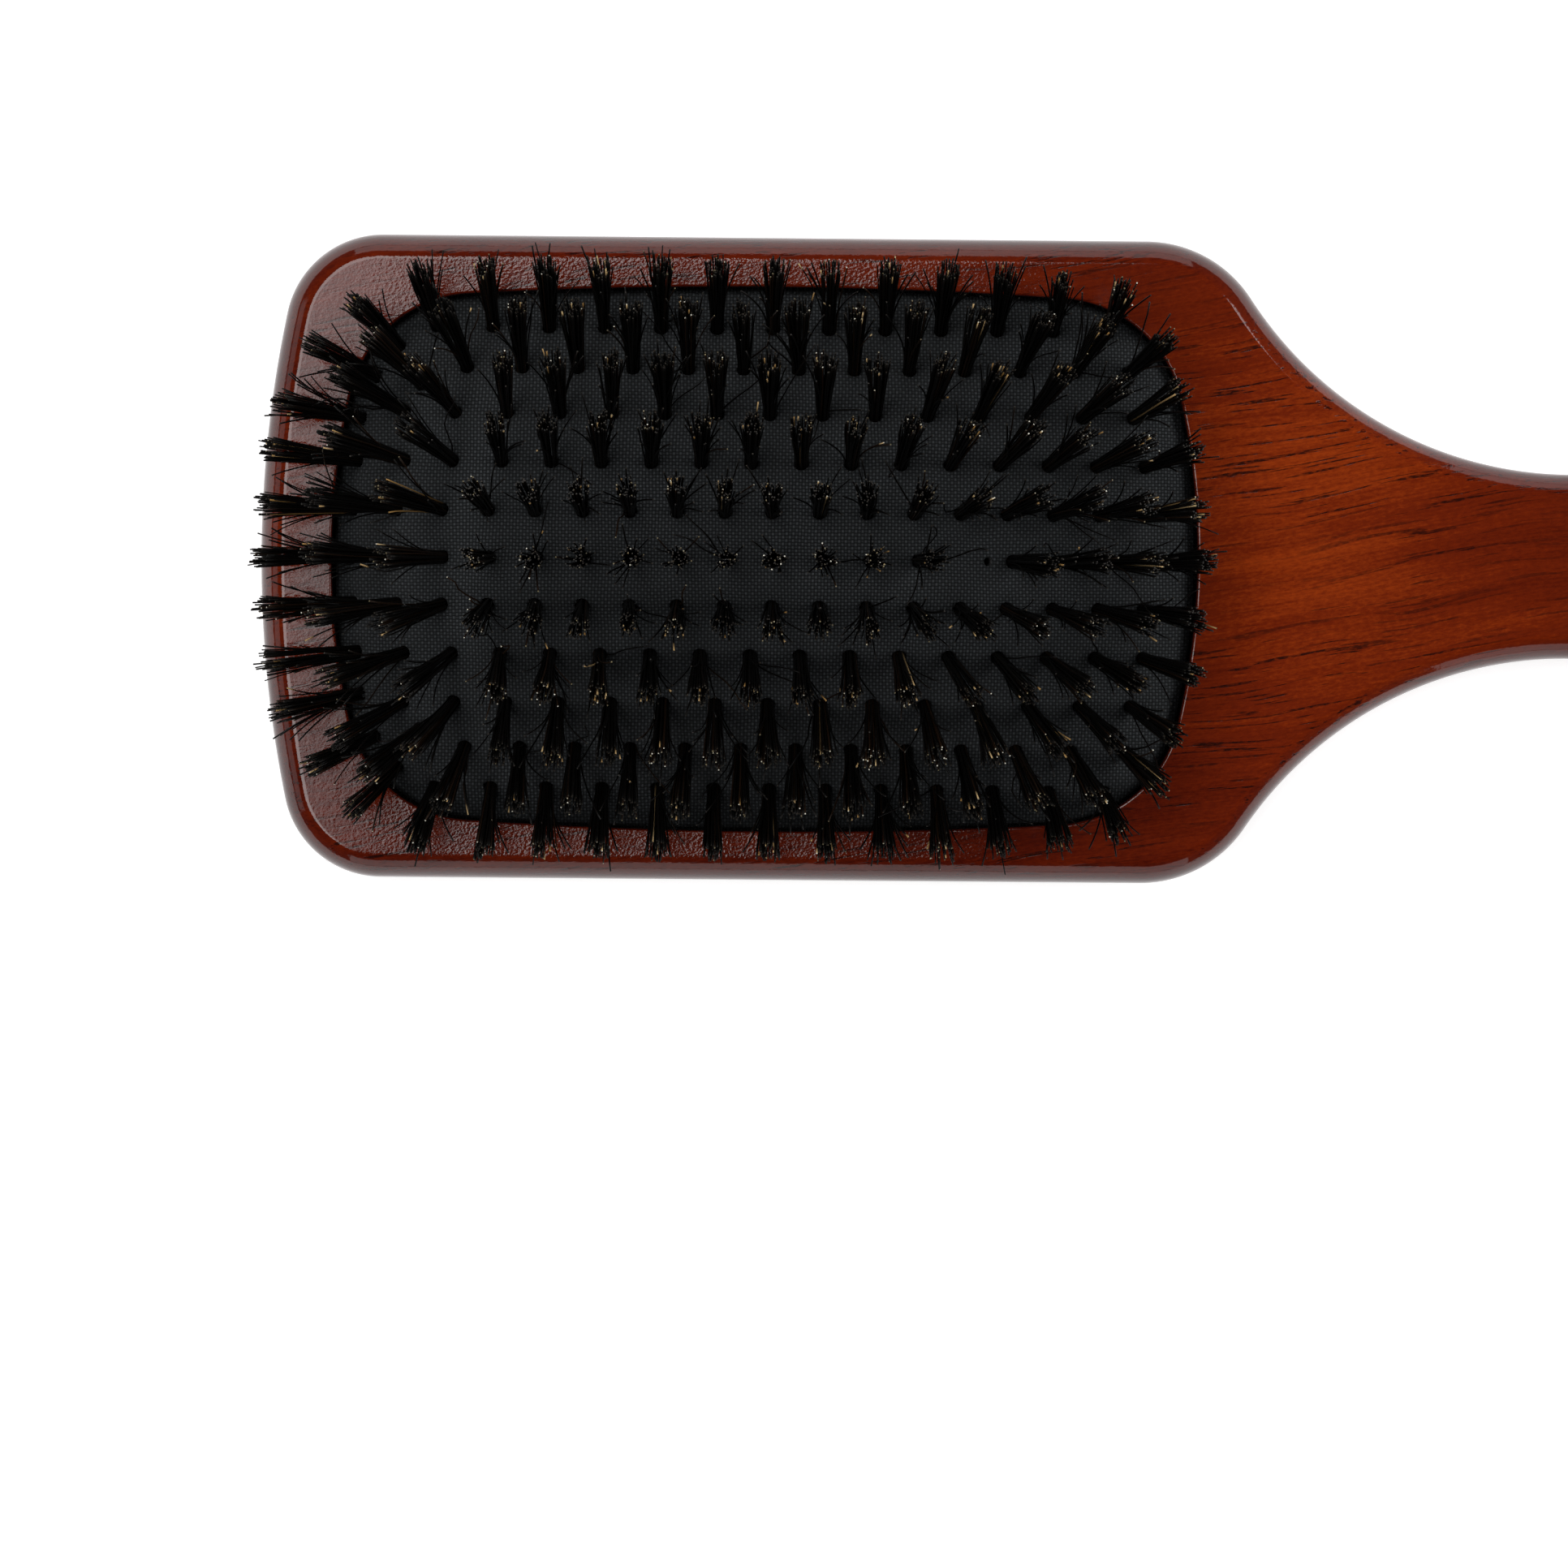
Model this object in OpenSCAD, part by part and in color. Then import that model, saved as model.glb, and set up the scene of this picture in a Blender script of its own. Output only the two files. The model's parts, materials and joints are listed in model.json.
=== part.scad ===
// Paddle hairbrush with a pneumatic cushion, lying on its back with the bristles up.
// +X runs from the toe of the paddle to the end of the handle, and +Z points up through the bristles.
// The origin is on the flat back, below the middle of the brush's length.

/* [Wood body] */
// Length of the brush from toe to handle end
brush_length = 250; // [246:1:256]
// Width of the paddle
paddle_width = 85; // [83:0.5:87]
// Thickness of the paddle
paddle_thickness = 11.2; // [10.5:0.1:12.5]
// Thickness of the handle
handle_thickness = 10; // [9.5:0.1:11]
// Width of the handle at its narrowest
neck_width = 24.4; // [22:0.2:26]
// Width of the rounded end of the handle
end_width = 26.8; // [24:0.2:28]
// Distance from the toe to the middle of the rounded shoulders
shoulder_from_toe = 116.8; // [115:0.1:119]
// Radius of the rounded shoulders
shoulder_radius = 16.6; // [14:0.1:18]
// Radius of the hollow curve from shoulder to handle
flare_radius = 51; // [46:0.1:54]
// Radius of the shallow curve across the toe
toe_radius = 158; // [140:1:175]
// Radius of the corners of the toe
toe_corner_radius = 13; // [11:0.5:15]

/* [Rounded edge] */
// How far the edge of the face lies inside the widest outline
face_inset = 3.1; // [2:0.1:4]
// Depth of the widest line below the face
widest_depth = 4.6; // [4:0.1:5.5]
// How far the edge of the back lies inside the widest outline
back_inset = 5.2; // [4:0.1:6]

/* [Cushion pocket] */
// Length of the pocket
pocket_length = 114; // [112:0.5:114]
// Width of the pocket
pocket_width = 71.6; // [71:0.2:72]
// Distance from the toe to the near wall of the pocket
pocket_from_toe = 9.65; // [9:0.05:10.5]
// Corner radius of the pocket
pocket_corner = 17; // [16:0.5:18]
// Depth of the pocket below the face
pocket_depth = 7.2; // [7:0.1:7.4]
// Height of the undercut groove at the floor of the pocket
groove_height = 2.6; // [2.5:0.05:2.8]
// Depth of the groove into the wood
groove_depth = 1.5; // [1.3:0.1:1.8]

/* [Cushion] */
// Rise of the crown above the face
dome_rise = 12.7; // [12:0.1:13.2]
// Run of the steep slope at the toe
toe_ramp = 20; // [18:0.5:24]
// Run of the gentle slope at the heel
heel_ramp = 40; // [36:0.5:44]
// Thickness of the woven cover
fabric_thickness = 0.45; // [0.35:0.05:0.5]
// Thickness of the rubber pad
rubber_thickness = 1.6; // [1.4:0.1:1.8]
// Thickness of the rim that sits in the groove
rim_thickness = 1.6; // [1.4:0.1:1.7]
// Diameter of the air hole
vent_diameter = 1.2; // [0.8:0.1:1.6]
// Distance from the toe to the air hole
vent_from_toe = 95.6; // [95:0.1:96.2]

/* [Tufts] */
// Free length of a tuft above the cover
tuft_length = 16.3; // [14:0.1:17]
// Diameter of a tuft where it leaves the cover
tuft_root_diameter = 1.7; // [1.5:0.05:1.9]
// Diameter of the spread tips
tuft_tip_diameter = 4.2; // [3:0.1:4.4]
// Share of the cushion's slope that the tufts lean by
lean_share = 0.85; // [0.7:0.05:0.9]
// Diameter of the anchor wire through a tuft's folded root
anchor_diameter = 0.5; // [0.4:0.05:0.6]
// Length of the anchor wire
anchor_length = 2.9; // [2.7:0.1:3.1]

/* [Hidden] */
toe_x = -brush_length / 2;
face_z = paddle_thickness;
half_width = paddle_width / 2;

// Wood outline, above the centre line: tangent arcs from the toe to the end of the handle.
toe_centre_x = toe_x + toe_radius;
corner_y = half_width - toe_corner_radius;
corner_x = toe_centre_x - sqrt(pow(toe_radius - toe_corner_radius, 2) - pow(corner_y, 2));
toe_end_angle = atan2(corner_y, corner_x - toe_centre_x);
shoulder_x = toe_x + shoulder_from_toe;
shoulder_y = half_width - shoulder_radius;
flare_y = neck_width / 2 + flare_radius;
flare_x = shoulder_x + sqrt(pow(shoulder_radius + flare_radius, 2) - pow(flare_y - shoulder_y, 2));
flare_start_angle = atan2(flare_y - shoulder_y, flare_x - shoulder_x);
end_radius = end_width / 2;
end_x = brush_length / 2 - end_radius;
handle_angle = atan2(end_x - flare_x, flare_y)
    - acos((flare_radius + end_radius) / norm([end_x - flare_x, flare_y]));
back_rise = paddle_thickness - handle_thickness;

// Points on an arc. The radius grows by side * inset, where side is -1 on a bulge and 1 in a hollow.
function arc(centre, radius, side, from, to, steps, inset) =
    [for (i = [0:steps]) let (a = from + (to - from) * i / steps)
        centre + (radius + side * inset) * [cos(a), sin(a)]];

function half_outline(inset) = concat(
    arc([toe_centre_x, 0], toe_radius, -1, 180, toe_end_angle, 8, inset),
    arc([corner_x, corner_y], toe_corner_radius, -1, toe_end_angle - 8, 90, 9, inset),
    arc([shoulder_x, shoulder_y], shoulder_radius, -1, 90, flare_start_angle, 8, inset),
    arc([flare_x, flare_y], flare_radius, 1, 180 + flare_start_angle + 3, 270 + handle_angle, 20, inset),
    arc([end_x, 0], end_radius, -1, 90 + handle_angle, 0, 12, inset));

// Height of the back above the table: flat under the paddle, rising a little towards the handle.
function back_z(x) =
    let (t = max(0, min(1, (x - shoulder_x) / (flare_x - shoulder_x)))) back_rise * t * t * (3 - 2 * t);

// Edge profile from face to back, as [inset, height as a share of the thickness].
crease_angle = 63;
widest_share = 1 - widest_depth / paddle_thickness;
edge_profile = concat(
    [for (i = [0:5]) let (a = crease_angle * (1 - i / 5))
        [face_inset * (1 - cos(a)) / (1 - cos(crease_angle)),
         widest_share + (1 - widest_share) * sin(a) / sin(crease_angle)]],
    [for (i = [1:7]) let (a = 90 * i / 7) [back_inset * (1 - cos(a)), widest_share * (1 - sin(a))]]);

function body_ring(step) =
    let (half = half_outline(step[0]), n = len(half),
        loop = concat(half, [for (i = [n - 2:-1:1]) [half[i].x, -half[i].y]]))
    [for (p = loop) let (low = back_z(p.x)) [p.x, p.y, low + (face_z - low) * step[1]]];

// Pocket outline: four shallow arcs joined by round corners, as [x, y, outward normal x, y].
pocket_x = toe_x + pocket_from_toe + pocket_length / 2;
side_bulge = 1.15;
end_bulge = 2;
corner_centre = [pocket_length / 2 - pocket_corner - end_bulge, pocket_width / 2 - pocket_corner - side_bulge];
function bulge_radius(reach, bulge) = (reach * reach + 2 * pocket_corner * bulge + bulge * bulge) / (2 * bulge);
side_radius = bulge_radius(corner_centre.x, side_bulge);
cap_radius = bulge_radius(corner_centre.y, end_bulge);
side_angle = asin(corner_centre.x / (side_radius - pocket_corner));
cap_angle = asin(corner_centre.y / (cap_radius - pocket_corner));

function pocket_arc(centre, radius, from, to, steps) =
    [for (i = [0:steps - 1]) let (a = from + (to - from) * i / steps, n = [cos(a), sin(a)])
        [pocket_x + centre.x + radius * n.x, centre.y + radius * n.y, n.x, n.y]];
pocket_outline = concat(
    pocket_arc([pocket_length / 2 - cap_radius, 0], cap_radius, -cap_angle, cap_angle, 8),
    pocket_arc([corner_centre.x, corner_centre.y], pocket_corner, cap_angle, 90 - side_angle, 7),
    pocket_arc([0, pocket_width / 2 - side_radius], side_radius, 90 - side_angle, 90 + side_angle, 14),
    pocket_arc([-corner_centre.x, corner_centre.y], pocket_corner, 90 + side_angle, 180 - cap_angle, 7),
    pocket_arc([cap_radius - pocket_length / 2, 0], cap_radius, 180 - cap_angle, 180 + cap_angle, 8),
    pocket_arc([-corner_centre.x, -corner_centre.y], pocket_corner, 180 + cap_angle, 270 - side_angle, 7),
    pocket_arc([0, side_radius - pocket_width / 2], side_radius, 270 - side_angle, 270 + side_angle, 14),
    pocket_arc([corner_centre.x, -corner_centre.y], pocket_corner, 270 + side_angle, 360 - cap_angle, 7));

function pocket_loop(grow) = [for (p = pocket_outline) [p[0] + grow * p[2], p[1] + grow * p[3]]];

// Dome of the cushion above the face, and its slope.
dome_toe_x = toe_x + pocket_from_toe + 2.15;
dome_heel_x = toe_x + pocket_from_toe + pocket_length - 3.1;
dome_half_width = pocket_width / 2 - 4.8;
function ramp(t) = sin(90 * max(0, min(1, t)));
function along(x) = ramp((x - dome_toe_x) / toe_ramp) * ramp((dome_heel_x - x) / heel_ramp);
function across(y) = cos(90 * min(1, abs(y) / dome_half_width));
function dome(x, y) = dome_rise * along(x) * across(y);
slope_step = 0.05;

// Close to the wall of the pocket the cushion dips below the face. The wall's distance is the least
// distance to the outline's tangents, because the outline bulges everywhere.
rim_band = 4.8;
rim_dip = 3;
wall_gap = 0.25;
glue_gap = 0.08;
function wall_distance(x, y) =
    min([for (e = pocket_outline) (e[0] - x) * e[2] + (e[1] - y) * e[3]]) - wall_gap;
function cover_height(x, y) =
    face_z + dome(x, y) - rim_dip * pow(max(0, 1 - wall_distance(x, y) / rim_band), 2);
function slope_at(height, x, y) = [
    height(x + slope_step, y) - height(x - slope_step, y),
    height(x, y + slope_step) - height(x, y - slope_step)] / (2 * slope_step);
function dome_slope(x, y) = slope_at(function(x, y) dome(x, y), x, y);
// The tufts lean with this slope. It is the dome's own in the middle of an edge, and steeper at the
// corners, where the cushion is stretched over two edges at once.
function lean_slope(x, y) =
    let (slope = dome_slope(x, y)) [slope.x / sqrt(across(y)), slope.y / sqrt(along(x))];
function cover_slope(x, y) = slope_at(function(x, y) cover_height(x, y), x, y);

// A point of the cushion below the outer surface of its cover. share is 0 at the middle of the
// pocket and 1 at its wall, and edge is the point of the outline that it is scaled towards.
function cushion_point(edge, share, depth) =
    let (normal = [edge[2], edge[3]],
        p = [pocket_x, 0] + share * ([edge[0] - pocket_x, edge[1]] - wall_gap * normal),
        slope = cover_slope(p.x, p.y))
    [p.x, p.y, cover_height(p.x, p.y)] - depth * [-slope.x, -slope.y, 1] / norm([slope.x, slope.y, 1]);
dome_shares = [for (i = [1:10]) 1 - pow(1 - i / 10, 1.6)];
function dome_rings(depth) = [for (s = dome_shares) [for (e = pocket_outline) cushion_point(e, s, depth)]];
function crown(depth) = [pocket_x, 0, face_z + dome_rise - depth];
function reversed(list) = [for (i = [len(list) - 1:-1:0]) list[i]];

// A closed solid from rings of equally many points, with a point at each end.
module ringed_solid(first, rings, last) {
    n = len(rings[0]);
    m = len(rings);
    polyhedron(
        points = concat([first], [for (ring = rings) for (p = ring) p], [last]),
        faces = concat(
            [for (i = [0:n - 1]) [0, 1 + (i + 1) % n, 1 + i]],
            [for (k = [0:m - 2]) for (i = [0:n - 1]) let (j = (i + 1) % n, a = 1 + k * n, b = a + n)
                each [[a + i, a + j, b + j], [a + i, b + j, b + i]]],
            [for (i = [0:n - 1]) let (a = 1 + (m - 1) * n) [a + i, a + (i + 1) % n, 1 + m * n]]));
}

// Tuft layout: eleven rows along X, mirrored about the middle row. Each line of this list is a row's
// distance from the centre line, its number of places, the places of its first and last tufts, and
// how far its first tufts are moved to follow the round corner of the pocket.
row_layout = [
    [0, 18, -112.7, -7.5, []],
    [6.2, 18, -112.7, -8.4, []],
    [12.6, 17, -112.1, -8.4, []],
    [19, 16, -112.6, -10, [[1, -0.9]]],
    [25, 15, -112, -10.7, [[2.4, -1.3], [1.2, -2.3]]],
    [30.4, 14, -109, -13.4, [[2.3, -2.7]]]];
outer_row = len(row_layout) - 1;
rows = [for (r = [1:2 * outer_row + 1]) r];
middle_row = outer_row + 1;
// The middle row leaves out one place beside the air hole.
vent_place = 13;
vent_x = toe_x + vent_from_toe;

function zone_of(row, place) =
    min(place, row_layout[abs(row - middle_row)][1] - 1 - place, outer_row - abs(row - middle_row), 2);
function tuft_places(row, zone) =
    let (side = abs(row - middle_row), line = row_layout[side], pitch = (line[3] - line[2]) / (line[1] - 1))
    [for (i = [0:line[1] - 1])
        if (zone_of(row, i) == zone && !(side == 0 && i == vent_place))
            let (shift = i < len(line[4]) ? line[4][i] : [0, 0])
            [line[2] + pitch * i + shift.x, sign(row - middle_row) * (line[0] + shift.y)]];

// Depths below the cover's surface, along a tuft. Beside the wall the cushion is steepest, so the
// anchors of the edge tufts lie a little deeper.
rubber_top = fabric_thickness + glue_gap;
rubber_bottom = rubber_top + rubber_thickness;
edge_slack = 1.1;
function anchor_depth(zone) =
    rubber_bottom + anchor_diameter / 2 + 0.5 + (zone == 0 ? edge_slack : 0);
function root_depth(zone) = anchor_depth(zone) + anchor_diameter / 2 + 0.75;
hole_diameter = tuft_root_diameter + 0.2;
loop_hole = anchor_diameter + 0.65;

// Puts its children at a tuft's place with +Z along the tuft and their origin on the cover.
module at_tuft(place) {
    slope = lean_slope(place.x, place.y);
    downhill = atan2(-slope.y, -slope.x);
    translate([place.x, place.y, cover_height(place.x, place.y)])
        rotate(downhill) rotate([0, lean_share * atan(norm(slope)), 0]) rotate(-downhill)
            children();
}

// Runs parallel to the row through a tuft's folded root.
module anchor_wire(place, zone, diameter, length) {
    at_tuft(place) translate([0, 0, -anchor_depth(zone)]) rotate([0, 90, 0])
        cylinder(d = diameter, h = length, center = true, $fn = 24);
}

module tuft(place, zone) {
    difference() {
        union() {
            at_tuft(place) translate([0, 0, -root_depth(zone)])
                cylinder(d = tuft_root_diameter, h = root_depth(zone), $fn = 24);
            at_tuft(place) cylinder(d1 = tuft_root_diameter, d2 = tuft_tip_diameter, h = tuft_length, $fn = 24);
        }
        anchor_wire(place, zone, loop_hole, tuft_root_diameter * 2);
    }
}

all_places = [for (row = rows) for (zone = [0:2]) each tuft_places(row, zone)];
module cushion_holes() {
    for (place = all_places)
        at_tuft(place) translate([0, 0, -root_depth(0)])
            cylinder(d = hole_diameter, h = root_depth(0) + 2, $fn = 24);
    translate([vent_x, 0, face_z]) cylinder(d = vent_diameter, h = dome_rise + 1, $fn = 24);
}

zone_names = ["edge", "mid", "crown"];
function zone_rows(zone) = [for (row = rows) if (len(tuft_places(row, zone)) > 0) row];
function tuft_node(zone, row) = str(zone_names[zone], "_tufts_row_", row);

module wood_body() {
    rings = [for (step = edge_profile) body_ring(step)];
    n = len(rings[0]);
    m = len(rings);
    back = (m - 1) * n;
    color("saddlebrown") difference() {
        polyhedron(
            points = [for (ring = rings) each ring],
            faces = concat(
                [[for (i = [0:n - 1]) i]],
                [for (k = [0:m - 2]) for (i = [0:n - 1]) let (j = (i + 1) % n, a = k * n, b = a + n)
                    each [[a + j, a + i, b + i], [a + j, b + i, b + j]]],
                [[back + 1, back, back + n - 1], [back + n / 2, back + n / 2 - 1, back + n / 2 + 1]],
                [for (i = [1:n / 2 - 2])
                    each [[back + i + 1, back + i, back + n - i],
                          [back + i + 1, back + n - i, back + n - i - 1]]]));
        translate([0, 0, face_z - pocket_depth])
            linear_extrude(pocket_depth + 1) polygon(pocket_loop(0));
        translate([0, 0, face_z - pocket_depth])
            linear_extrude(groove_height) polygon(pocket_loop(groove_depth));
    }
}

// The rim of the rubber and the hem of the cover lie in the groove, which holds the cushion down.
floor_z = face_z - pocket_depth;
rim_low = floor_z + 0.3;
rim_top = rim_low + rim_thickness;
hem_low = rim_top + glue_gap;
hem_top = hem_low + fabric_thickness;
rim_reach = groove_depth - 0.3;
function wall_inset(depth) = wall_gap + depth * sin(atan(2 * rim_dip / rim_band));
function wall_ring(inset, z) = [for (p = pocket_loop(-inset)) [p.x, p.y, z]];

module cushion_fabric() {
    color("dimgray") difference() {
        ringed_solid(crown(0),
            concat(dome_rings(0),
                [wall_ring(wall_gap, hem_top), wall_ring(-rim_reach, hem_top),
                 wall_ring(-rim_reach, hem_low), wall_ring(wall_inset(fabric_thickness), hem_low)],
                reversed(dome_rings(fabric_thickness))),
            crown(fabric_thickness));
        cushion_holes();
    }
}

module cushion_rubber() {
    color("black") difference() {
        ringed_solid(crown(rubber_top),
            concat(dome_rings(rubber_top),
                [wall_ring(wall_inset(rubber_top), rim_top), wall_ring(-rim_reach, rim_top),
                 wall_ring(-rim_reach, rim_low), wall_ring(wall_inset(rubber_bottom), rim_low)],
                reversed(dome_rings(rubber_bottom))),
            crown(rubber_bottom));
        cushion_holes();
    }
}

module tufts(zone, row) {
    color([0.05, 0.04, 0.04]) for (place = tuft_places(row, zone))
        tuft(place, zone);
}

module anchors(zone) {
    color("silver") for (row = rows) for (place = tuft_places(row, zone))
        anchor_wire(place, zone, anchor_diameter, anchor_length);
}

wood_body();
cushion_rubber();
cushion_fabric();
for (zone = [0:2])
    anchors(zone);
for (zone = [0:2]) for (row = zone_rows(zone))
    tufts(zone, row);
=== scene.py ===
"""Looks of a paddle hairbrush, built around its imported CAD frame.

Shape functions work in millimetres and make_mesh turns their points into metres.
"""

import json
import math

import bmesh
import bpy
import numpy as np
from mathutils import Matrix, Vector, geometry


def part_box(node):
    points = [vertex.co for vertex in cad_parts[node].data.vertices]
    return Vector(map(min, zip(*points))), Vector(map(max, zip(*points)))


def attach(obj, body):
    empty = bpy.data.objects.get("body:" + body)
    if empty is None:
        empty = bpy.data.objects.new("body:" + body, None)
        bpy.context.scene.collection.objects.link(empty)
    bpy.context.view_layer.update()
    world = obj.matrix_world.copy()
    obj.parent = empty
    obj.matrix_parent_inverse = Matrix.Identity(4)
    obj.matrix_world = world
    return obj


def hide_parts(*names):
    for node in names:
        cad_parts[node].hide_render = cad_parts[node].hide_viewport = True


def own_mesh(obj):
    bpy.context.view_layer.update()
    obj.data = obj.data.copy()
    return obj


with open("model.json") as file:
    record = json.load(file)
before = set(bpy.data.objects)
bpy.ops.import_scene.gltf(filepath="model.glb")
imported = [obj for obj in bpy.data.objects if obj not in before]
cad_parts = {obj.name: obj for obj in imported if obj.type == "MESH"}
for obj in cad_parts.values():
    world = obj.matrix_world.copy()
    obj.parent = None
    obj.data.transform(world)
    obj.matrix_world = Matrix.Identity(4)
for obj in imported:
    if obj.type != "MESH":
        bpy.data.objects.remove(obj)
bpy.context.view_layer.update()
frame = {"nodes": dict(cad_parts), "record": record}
MM = 0.001

# ---------------------------------------------------------------- sizes from the frame
WOOD_LOW, WOOD_HIGH = (np.array(corner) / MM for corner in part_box("wood_body"))
COVER_HIGH = np.array(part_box("cushion_fabric")[1]) / MM
TOE_X = WOOD_LOW[0]
HALF_WIDTH = WOOD_HIGH[1]
FACE_Z = WOOD_HIGH[2]

# ---------------------------------------------------------------- wood outline, as in the CAD
NECK_HALF = 12.2
END_RADIUS = 13.4
SHOULDER_RADIUS = 16.6
SHOULDER = np.array([TOE_X + 116.8, HALF_WIDTH - SHOULDER_RADIUS])
FLARE_RADIUS = 51.0
FLARE_Y = NECK_HALF + FLARE_RADIUS
FLARE_SPAN = SHOULDER_RADIUS + FLARE_RADIUS
FLARE_X = SHOULDER[0] + math.sqrt(FLARE_SPAN**2 - (FLARE_Y - SHOULDER[1]) ** 2)
TOE_RADIUS = 158.0
CORNER_RADIUS = 13.0
BACK_RISE = 1.2
FACE_INSET = 3.1
WIDEST_DEPTH = 4.6
BACK_INSET = 5.2
CREASE_ANGLE = 63.0
CREASE_WEAR = 0.34
POCKET_ROUNDING = 0.35

# ---------------------------------------------------------------- pocket and cushion, as in the CAD
POCKET_LENGTH = 114.0
POCKET_WIDTH = 71.6
POCKET_CORNER = 17.0
POCKET_X = TOE_X + 9.65 + POCKET_LENGTH / 2
POCKET_DEPTH = 7.2
GROOVE_HEIGHT = 2.6
GROOVE_DEPTH = 1.5
SIDE_BULGE = 1.15
END_BULGE = 2.0
DOME_RISE = COVER_HIGH[2] - FACE_Z
DOME_TOE_X = POCKET_X - POCKET_LENGTH / 2 + 2.15
DOME_HEEL_X = POCKET_X + POCKET_LENGTH / 2 - 3.1
DOME_HALF_WIDTH = POCKET_WIDTH / 2 - 4.8
TOE_RAMP = 20.0
HEEL_RAMP = 40.0
RIM_BAND = 4.8
RIM_DIP = 3.0
WALL_GAP = 0.25
COVER_THICKNESS = 0.45
RUBBER_TOP = 0.53
RUBBER_BOTTOM = 2.13
# How far the hems go into the groove, and the hems as steps of [inset from the wall, height above the floor].
HEM_REACH = -1.2
COVER_HEM = ((0.25, GROOVE_HEIGHT + 0.2), (0.12, 2.43), (HEM_REACH, 2.43), (HEM_REACH, 1.98), (0.7, 1.98))
RUBBER_HEM = ((0.82, 1.9), (HEM_REACH, 1.9), (HEM_REACH, 0.3), (2.4, 0.3))
VENT = np.array([TOE_X + 95.6, 0.0])
VENT_RADIUS = 0.6

# ---------------------------------------------------------------- mesh of the cushion
RING_POINTS = 14
RING_SCALES = (1.0, 1.3, 1.75, 2.4)
WALL_RINGS = (0.45, 1.0, 1.7)
GRID_PITCH = 1.15
GRID_ROW_SHARE = 0.866
GRID_WALL_CLEAR = 2.2
RING_WALL_CLEAR = 1.9
GRID_HOLE_CLEAR = 0.45
# The cloth is simulated at this many times its size, which the solver handles better, for so many frames.
CLOTH_SCALE = 20
CLOTH_FRAMES = 15
PUFF_LIMIT = 0.35

# ---------------------------------------------------------------- tufts
TUFT_LENGTH = 16.3
TUFT_RADIUS = 0.82
HOLE_RADIUS = 0.93
DIMPLE_DEPTH = 0.42
DIMPLE_WIDTH = 0.85
DIMPLE_REACH = 4.0
PAIRS_PER_TUFT = 26
HAIR_RADIUS = 0.12
HAIR_SIDES = 5
TIP_TAPER = 0.16
TIP_SPREAD = 1.6
STRAY_SHARE = 0.13
CURL_SHARE = 0.008
PALE_TIP_SHARE = 0.04
PALE_HAIR_SHARE = 0.006
# Stations on one leg of a folded hair, from its tip at 1 to the cover at 0, and the number round the fold.
LEG_STEPS = np.array([1.0, 0.87, 0.72, 0.55, 0.37, 0.18, 0.0])
FOLD_STEPS = 5
# Half the width of a fold: its least value, and what it gains for each millimetre from the anchor's line.
FOLD_GAP = 0.7
FOLD_GAP_GROWTH = 0.14
# How far the tips at the toe curve on from the tuft's axis, in millimetres for each unit of lean.
TOE_BEND = 2.05

# ---------------------------------------------------------------- sizes in the materials, in millimetres
GRAIN_ANGLE = 10.0
# Centre and reach of a painted pool of light on the wood's flare, where its tone is raised.
PAINTED_LIGHT_CENTRE = (14.0, 4.0, 0.0)
PAINTED_LIGHT_REACH = 48.0
PER_PADDLE = 0.0067
WEAVE_PITCH = 0.43

# ---------------------------------------------------------------- lights and camera, in metres
WORLD_STRENGTH = 0.02
MIDDLE = (-0.06, 0, 0.01)
FLOOR_HALF = 3.0
FLOOR_GAP = 0.00005
TOE_BOX_CENTRE = (-0.49, 0.15)
TOE_BOX_HEIGHT = 1.15
TOE_BOX_LENGTH = 1.3
TOE_BOX_TURN = -21
# The box over the toe fades out towards the handle: shift along its width, width and radiance of each strip.
TOE_STRIPS = ((-0.085, 0.63, 4.5), (0.255, 0.05, 3.3), (0.305, 0.05, 2.3), (0.355, 0.05, 1.3))
CAMERA_XY = (-0.060, 0.0)
CAMERA_HEIGHT = 0.70
CAMERA_TARGET_XY = (-0.05557, -0.02952)
CAMERA_ROLL = 0.49
FOCAL_LENGTH = 122
SENSOR_WIDTH = 36


# ================================================================ mesh helpers
def make_mesh(name, points, faces, materials, smooth=True, face_material=None):
    """A linked mesh object from points in millimetres."""
    mesh = bpy.data.meshes.new(name)
    mesh.from_pydata((np.asarray(points) * MM).tolist(), [], faces)
    mesh.validate()
    for material in materials:
        mesh.materials.append(material)
    flags = np.ones(len(mesh.polygons), bool) if smooth is True else np.asarray(smooth)
    mesh.polygons.foreach_set("use_smooth", flags)
    if face_material is not None:
        mesh.polygons.foreach_set("material_index", np.asarray(face_material, np.int32))
    mesh.update()
    thing = bpy.data.objects.new(name, mesh)
    bpy.context.scene.collection.objects.link(thing)
    return thing


def bridge(first, second):
    """Quads between two closed loops of point numbers, equally long."""
    n = len(first)
    return [(first[i], first[(i + 1) % n], second[(i + 1) % n], second[i]) for i in range(n)]


def arc(centre, radius, side, start, end, steps, inset):
    """Points on an arc whose radius shrinks (side -1) or grows (side 1) as it is inset."""
    angle = np.radians(np.linspace(start, end, steps + 1))
    return np.array(centre) + (radius + side * inset) * np.column_stack([np.cos(angle), np.sin(angle)])


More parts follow.
